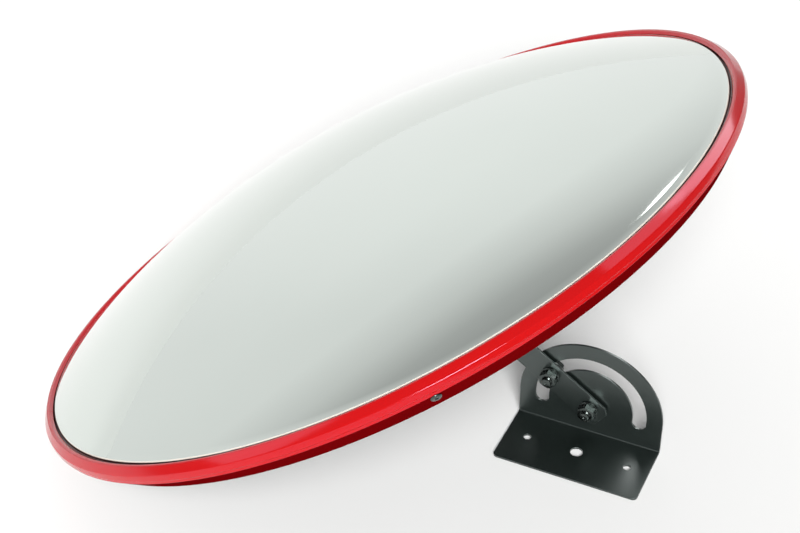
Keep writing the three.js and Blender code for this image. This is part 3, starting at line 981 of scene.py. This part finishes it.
@dataclass(frozen=True)
class MirrorHead:
    """The domed mirror with its edging, shell, backing disc and swivel bolt, sizes in millimetres.

    Heights run out of the mirror's face from the front of the rim.
    """

    dome_radius: float = 716.0
    dome_edge: float = 288.5
    dome_edge_height: float = 4.4
    dome_wall: float = 2.0
    shell_flat: float = -15.5
    shell_back: float = -18.0
    rib_radii: Point = (107.0, 207.0)
    rib_height: float = 1.5
    disc_radius: float = 68.0
    disc_back: float = -21.05
    disc_thickness: float = 3.0
    foot_front: float = -22.75
    foot_thickness: float = 2.5
    swivel_tip: float = -37.9
    rim_radius: float = 300.0
    painted_shade_top: float = -6.9
    # Height below which the edging is painted darker, as shade on the skirt.
    seam_degrees: float = 222.5
    seam_width: float = 0.5
    disc_screws: int = 6
    disc_screw_radius: float = 57.0
    edging_screws: int = 3
    edging_screw_degrees: float = 65.7
    edging_screw_radius: float = 296.4
    edging_screw_height: float = -9.32
    edging_screw_lean: float = -45.0
    turn_steps: int = 360
    fasteners: Fasteners = field(default_factory=Fasteners)

    def build(self) -> None:
        """Builds every piece that turns with the mirror."""
        fitter = Fitter("mirror", mirror_place())
        self.build_dome(fitter)
        self.build_rim(fitter)
        self.build_back(fitter)
        self.build_swivel(fitter)
        self.build_screws(fitter)

    def dome_face(self, drop: float, rings: int) -> list[Point]:
        """One face of the dome's section, from its crown to its edge.

        Args:
            drop: Depth of the face below the mirror's front.
            rings: Steps from crown to edge.

        Returns:
            Radius and height of each point.
        """
        centre = self.dome_edge_height - math.sqrt(self.dome_radius**2 - self.dome_edge**2)
        sphere, edge = self.dome_radius - drop, self.dome_edge - drop / 2
        radii = [edge * i / rings for i in range(rings + 1)]
        return [(r, centre + math.sqrt(sphere**2 - r**2)) for r in radii]

    def build_dome(self, fitter: Fitter) -> None:
        """Builds the silvered dome with its milky cut edge and its dark flange, which carries a painted red
        reflection.

        Args:
            fitter: Fits the pieces to the mirror.
        """
        inner = self.dome_face(self.dome_wall, 20)
        outer = self.dome_face(0.0, 60)
        flange = [
            (287.7, 0.1), (295.0, 0.1), (295.0, 1.7), (290.2, 1.7), (289.5, 1.9), (289.1, 2.5),
            (289.0, 3.5), (288.8, 4.3),
        ]
        profile = [*inner, *flange, *reversed(outer)]
        bm = spun(profile, self.turn_steps)
        finishes = [SILVERED_ACRYLIC, BARE_ACRYLIC, DARK_FLANGE_PAINTED_REFLECTION]
        fitter.fit("mirror_dome", bm, finishes, smooth_degrees=50.0, choose=self.dome_finish)

    def dome_finish(self, spot: Vector) -> int:
        """Picks the dome's finish: silvered inside its edge, then milky above and dark below, where the dark
        carries a painted red reflection of the edging.

        Args:
            spot: Middle of a face, in the mirror's own axes.

        Returns:
            The finish's number.
        """
        if math.hypot(spot.x, spot.y) < self.dome_edge:
            return 0
        return 1 if spot.z > 3.0 else 2

    def build_rim(self, fitter: Fitter) -> None:
        """Builds the red edging, open at its seam, and the foam strip under the flange.

        Args:
            fitter: Fits the pieces to the mirror.
        """
        corners = [
            (284.9, -18.95, 0.2), (285.2, -19.5, 0.3), (286.25, -19.5, 0.6), (298.95, -6.8, 0.8),
            (298.95, -4.9, 0.35), (299.95, -4.0, 0.5), (299.75, 0.5, 1.6), (295.3, 5.3, 0.25),
            (294.95, 4.9, 0.12), (294.6, 5.3, 0.25), (293.0, 5.2, 0.7), (291.0, 3.5, 0.4),
            (291.2, 2.5, 0.3), (293.0, 2.05, 0.3),
            (295.6, 2.05, 0.0), (295.6, -8.25, 0.0),
        ]
        gap = math.degrees(self.seam_width / self.rim_radius)
        start = self.seam_degrees + gap / 2
        edging = spun(rounded(corners, 6), self.turn_steps, gap, start)
        # Faces low on the skirt get the deeper red: painted shade where the skirt faces away from the lights.
        fitter.fit(
            "rim_edging", edging, [EDGING_VINYL, EDGING_SKIRT_PAINTED_SHADE], smooth_degrees=32.0,
            choose=lambda spot: int(spot.z < self.painted_shade_top),
        )
        strip = [(288.6, -2.75, 0.5), (294.3, -2.75, 0.5), (294.3, -0.15, 0.5), (288.6, -0.15, 0.5)]
        fitter.fit("cushion_ring", spun(rounded(strip), 180), [CUSHION_FOAM])

    def build_back(self, fitter: Fitter) -> None:
        """Builds the moulded shell with its two ribs, and the steel disc.

        Args:
            fitter: Fits the pieces to the mirror.
        """
        back, flat, crest = self.shell_back, self.shell_flat, self.shell_back - self.rib_height
        corners = [(BOLT_CLEARANCE, flat, 0.0), (BOLT_CLEARANCE, back, 0.3)]
        for rib in self.rib_radii:
            corners += [(rib - 7.5, back, 0.8), (rib - 4.0, crest, 1.0)]
            corners += [(rib + 4.0, crest, 1.0), (rib + 7.5, back, 0.8)]
        corners += [
            (284.3, back, 1.0), (294.55, -8.3, 0.6), (294.55, -3.0, 0.3),
            (288.0, -3.0, 0.3), (288.0, -8.9, 1.0), (281.4, flat, 1.5),
        ]
        shell = spun(rounded(corners), 240)
        fitter.fit("back_shell", shell, [MOULDED_SHELL], smooth_degrees=50.0)
        low, high, edge = self.disc_back, self.disc_back + self.disc_thickness, self.disc_radius
        rings = [
            Ring(BOLT_CLEARANCE, high), Ring(BOLT_CLEARANCE, low), Ring(edge - 0.6, low),
            Ring(edge - 0.2, low + 0.2), Ring(edge, low + 0.6),
            Ring(edge, high - 0.3), Ring(edge - 0.3, high),
        ]
        fitter.fit("backing_disc", stacked(rings, closed=True, segments=144), [POWDER_COAT])

    def build_swivel(self, fitter: Fitter) -> None:
        """Builds the round-headed swivel bolt with its spacer, washer and nut.

        Args:
            fitter: Fits the pieces to the mirror.
        """
        made = self.fasteners
        gap, shank, root = made.slide_gap, made.bolt_radius, made.thread_root
        head, tip = self.shell_flat + gap, self.swivel_tip
        rings = [Ring(0.3, head + 4.8), Ring(4.0, head + 4.5), Ring(7.2, head + 3.6), Ring(9.2, head + 2.0)]
        rings += [Ring(9.9, head + 0.6), Ring(10.0, head), Ring(shank, head)]
        level = head - 8.0
        while level > tip + 1.5:
            rings += [Ring(shank, level), Ring(root, level - 0.35)]
            rings += [Ring(root, level - 0.5), Ring(shank, level - 0.9)]
            level -= made.thread_pitch
        rings += [Ring(3.7, tip + 0.4), Ring(3.2, tip), Ring(0.5, tip)]
        plate, slot = [BLACK_ZINC], "hardware_zinc"
        fitter.fit("swivel_bolt", stacked(rings, closed=False), plate)
        spacer_low = self.foot_front + gap
        spacer = made.washer(spacer_low, spacer_low + made.washer_thickness, 2 * WASHER_RADIUS)
        fitter.fit("swivel_spacer", spacer, plate)
        washer_low = self.foot_front - self.foot_thickness - gap - made.washer_thickness
        washer = made.washer(washer_low, washer_low + made.washer_thickness)
        fitter.fit("swivel_washer", washer, plate)
        fitter.fit("swivel_nut", made.nut(washer_low - gap - made.nut_height), plate)

    def build_screws(self, fitter: Fitter) -> None:
        """Builds the disc's screws and the screws round the edging's skirt.

        Args:
            fitter: Fits the pieces to the mirror.
        """
        on_disc = Matrix.Translation((self.disc_screw_radius, 0, self.disc_back))
        for number in range(self.disc_screws):
            spin = Matrix.Rotation(TURN * number / self.disc_screws, 4, "Z")
            local = spin @ on_disc @ Matrix.Rotation(0.4 * number, 4, "Z")
            screw = self.fasteners.pan_screw(radius=4.5, height=2.6, shank=2.0, length=7.0)
            fitter.fit(f"disc_screw_{number + 1}", screw, [BRIGHT_ZINC], local=local)
        lean = Matrix.Rotation(math.radians(self.edging_screw_lean), 4, "Y")
        on_skirt = Matrix.Translation((self.edging_screw_radius, 0, self.edging_screw_height)) @ lean
        for number in range(self.edging_screws):
            first = math.radians(self.edging_screw_degrees)
            spin = Matrix.Rotation(first + TURN * number / self.edging_screws, 4, "Z")
            local = spin @ on_skirt @ Matrix.Rotation(0.5 * number, 4, "Z")
            screw = self.fasteners.pan_screw(radius=4.0, height=1.6, shank=1.5, length=7.0)
            fitter.fit(f"edging_screw_{number + 1}", screw, [BLACK_ZINC], local=local)


# ---------------------------------------------------------------- studio


class Panel(NamedTuple):
    """A rectangular soft light: its middle, two directions, its sides and its brightness."""

    name: str
    middle: tuple[float, float, float]
    across: tuple[float, float, float]
    towards_object: tuple[float, float, float]
    width: float
    height: float
    radiance: float
    gloss_only: bool = True


@dataclass(frozen=True)
class Studio:
    """The floor, the soft lights, the pale surroundings and the camera, sizes in metres."""

    floor_half: float = 30.0
    panels: tuple[Panel, ...] = (
        Panel(
            "back_panel", middle=(0.157, 2.017, 2.073), across=(0.861, 0.03, 0.497),
            towards_object=(0.36, -0.73, -0.58), width=1.9, height=1.68, radiance=4.5,
        ),
        Panel(
            "top_panel", middle=(0.42, 0.85, 2.5), across=(0.9, -0.35, 0.0),
            towards_object=(-0.15, -0.38, -0.91), width=1.1, height=1.2, radiance=1.6,
        ),
        Panel(
            "left_panel", middle=(-1.35, -0.95, 0.95), across=(0.72, -0.69, 0.0),
            towards_object=(0.6, 0.6, -0.53), width=0.8, height=0.8, radiance=1.5, gloss_only=False,
        ),
    )
    glow_steps: tuple[Point, ...] = (
        (0.4, 0.26), (0.62, 0.4), (0.69, 0.54), (0.75, 0.78), (0.82, 0.96), (0.92, 1.0),
    )
    floor_drop: float = 0.0005
    front_light: float = 4.0
    front_softness: float = 26.0
    bright_side: tuple[float, float, float] = (-0.788, 0.616, 0.0)
    brightest_side: tuple[float, float, float] = (-0.52, 0.82, 0.24)
    camera_at: tuple[float, float, float] = (0.27563, -0.91206, 0.88889)
    camera_right: tuple[float, float, float] = (0.90418, 0.42708, -0.00758)
    camera_back: tuple[float, float, float] = (0.34503, -0.71977, 0.6024)
    lens_mm: float = 72.03
    sensor_mm: float = 36.0
    clip: Point = (0.02, 60.0)

    def build(self) -> None:
        """Builds the whole studio."""
        self.build_floor()
        self.build_sky()
        for panel in self.panels:
            self.hang_panel(panel)
        self.build_front_light()
        self.build_camera()

    def build_floor(self) -> None:
        """Lays the pale floor just under the base plate."""
        bm = bmesh.new()
        bmesh.ops.create_grid(bm, x_segments=2, y_segments=2, size=self.floor_half)
        bmesh.ops.translate(bm, verts=bm.verts, vec=(0, 0, CAD_BOX[0].z - self.floor_drop))
        mesh = bpy.data.meshes.new("studio_floor")
        bm.to_mesh(mesh)
        bm.free()
        mesh.materials.append(STUDIO_FLOOR.material())
        floor = bpy.data.objects.new("studio_floor", mesh)
        bpy.context.scene.collection.objects.link(floor)

    def build_sky(self) -> None:
        """Surrounds the scene with dim grey and a broad pale glow low at the back left."""
        world = bpy.data.worlds.new("pale_surroundings")
        bpy.context.scene.world = world
        world.use_nodes = True
        tree = world.node_tree
        tree.nodes.clear()
        way = add_node(tree, "ShaderNodeTexCoord").outputs["Generated"]
        dot, kind = {"operation": "DOT_PRODUCT"}, "ShaderNodeVectorMath"
        near = add_node(tree, kind, dot, {0: way, 1: self.bright_side})
        glow = add_node(tree, "ShaderNodeValToRGB", inputs={"Fac": near.outputs["Value"]})
        ramp = glow.color_ramp
        while len(ramp.elements) < len(self.glow_steps):
            ramp.elements.new(0.5)
        for element, (place, grey) in zip(ramp.elements, self.glow_steps):
            element.position = place
            element.color = (grey, grey, grey, 1.0)
        peak = add_node(tree, kind, dot, {0: way, 1: self.brightest_side})
        lift = add_node(
            tree,
            "ShaderNodeMapRange",
            {"interpolation_type": "SMOOTHSTEP"},
            {"Value": peak.outputs["Value"], "From Min": 0.8, "From Max": 1.0, "To Min": 0.98, "To Max": 1.1},
        )
        sky = add_node(
            tree,
            "ShaderNodeBackground",
            inputs={"Color": glow.outputs["Color"], "Strength": lift.outputs["Result"]},
        )
        add_node(tree, "ShaderNodeOutputWorld", inputs={"Surface": sky.outputs[0]})

    def hang_panel(self, panel: Panel) -> None:
        """Hangs one rectangular soft light, facing the object.

        Args:
            panel: The light's place, size and brightness.
        """
        data = bpy.data.lights.new(panel.name, "AREA")
        data.shape = "RECTANGLE"
        data.size, data.size_y = panel.width, panel.height
        data.energy = panel.radiance * math.pi * panel.width * panel.height
        lamp = bpy.data.objects.new(panel.name, data)
        lamp.visible_diffuse = not panel.gloss_only
        lamp.matrix_world = along(Vector(panel.middle), Vector(panel.across), -Vector(panel.towards_object))
        bpy.context.scene.collection.objects.link(lamp)

    def build_front_light(self) -> None:
        """Adds a broad soft light from the camera's side, so that shadows fall behind."""
        data = bpy.data.lights.new("front_light", "SUN")
        data.energy = self.front_light
        data.angle = math.radians(self.front_softness)
        lamp = bpy.data.objects.new("front_light", data)
        lamp.rotation_euler = Vector(self.camera_back).to_track_quat("Z", "Y").to_euler()
        bpy.context.scene.collection.objects.link(lamp)

    def build_camera(self) -> None:
        """Stands the camera above and to the right of the bracket's front."""
        data = bpy.data.cameras.new("camera")
        data.lens = self.lens_mm
        data.sensor_width = self.sensor_mm
        data.clip_start, data.clip_end = self.clip
        camera = bpy.data.objects.new("camera", data)
        right, back = Vector(self.camera_right).normalized(), Vector(self.camera_back).normalized()
        up = back.cross(right)
        turn = Matrix((right, up, back)).transposed().to_4x4()
        camera.matrix_world = Matrix.Translation(self.camera_at) @ turn
        bpy.context.scene.collection.objects.link(camera)
        bpy.context.scene.camera = camera


def main() -> None:
    """Builds the sub-assemblies in order, then the studio."""
    logging.basicConfig(level=logging.INFO, format="%(name)s: %(message)s")
    for assembly in (BracketPlate(), TiltArm(), HeadBracket(), MirrorHead(), Studio()):
        LOG.info("building %s", type(assembly).__name__)
        assembly.build()
    bpy.context.scene.view_settings.view_transform = "Standard"


if __name__ == "__main__":
    main()
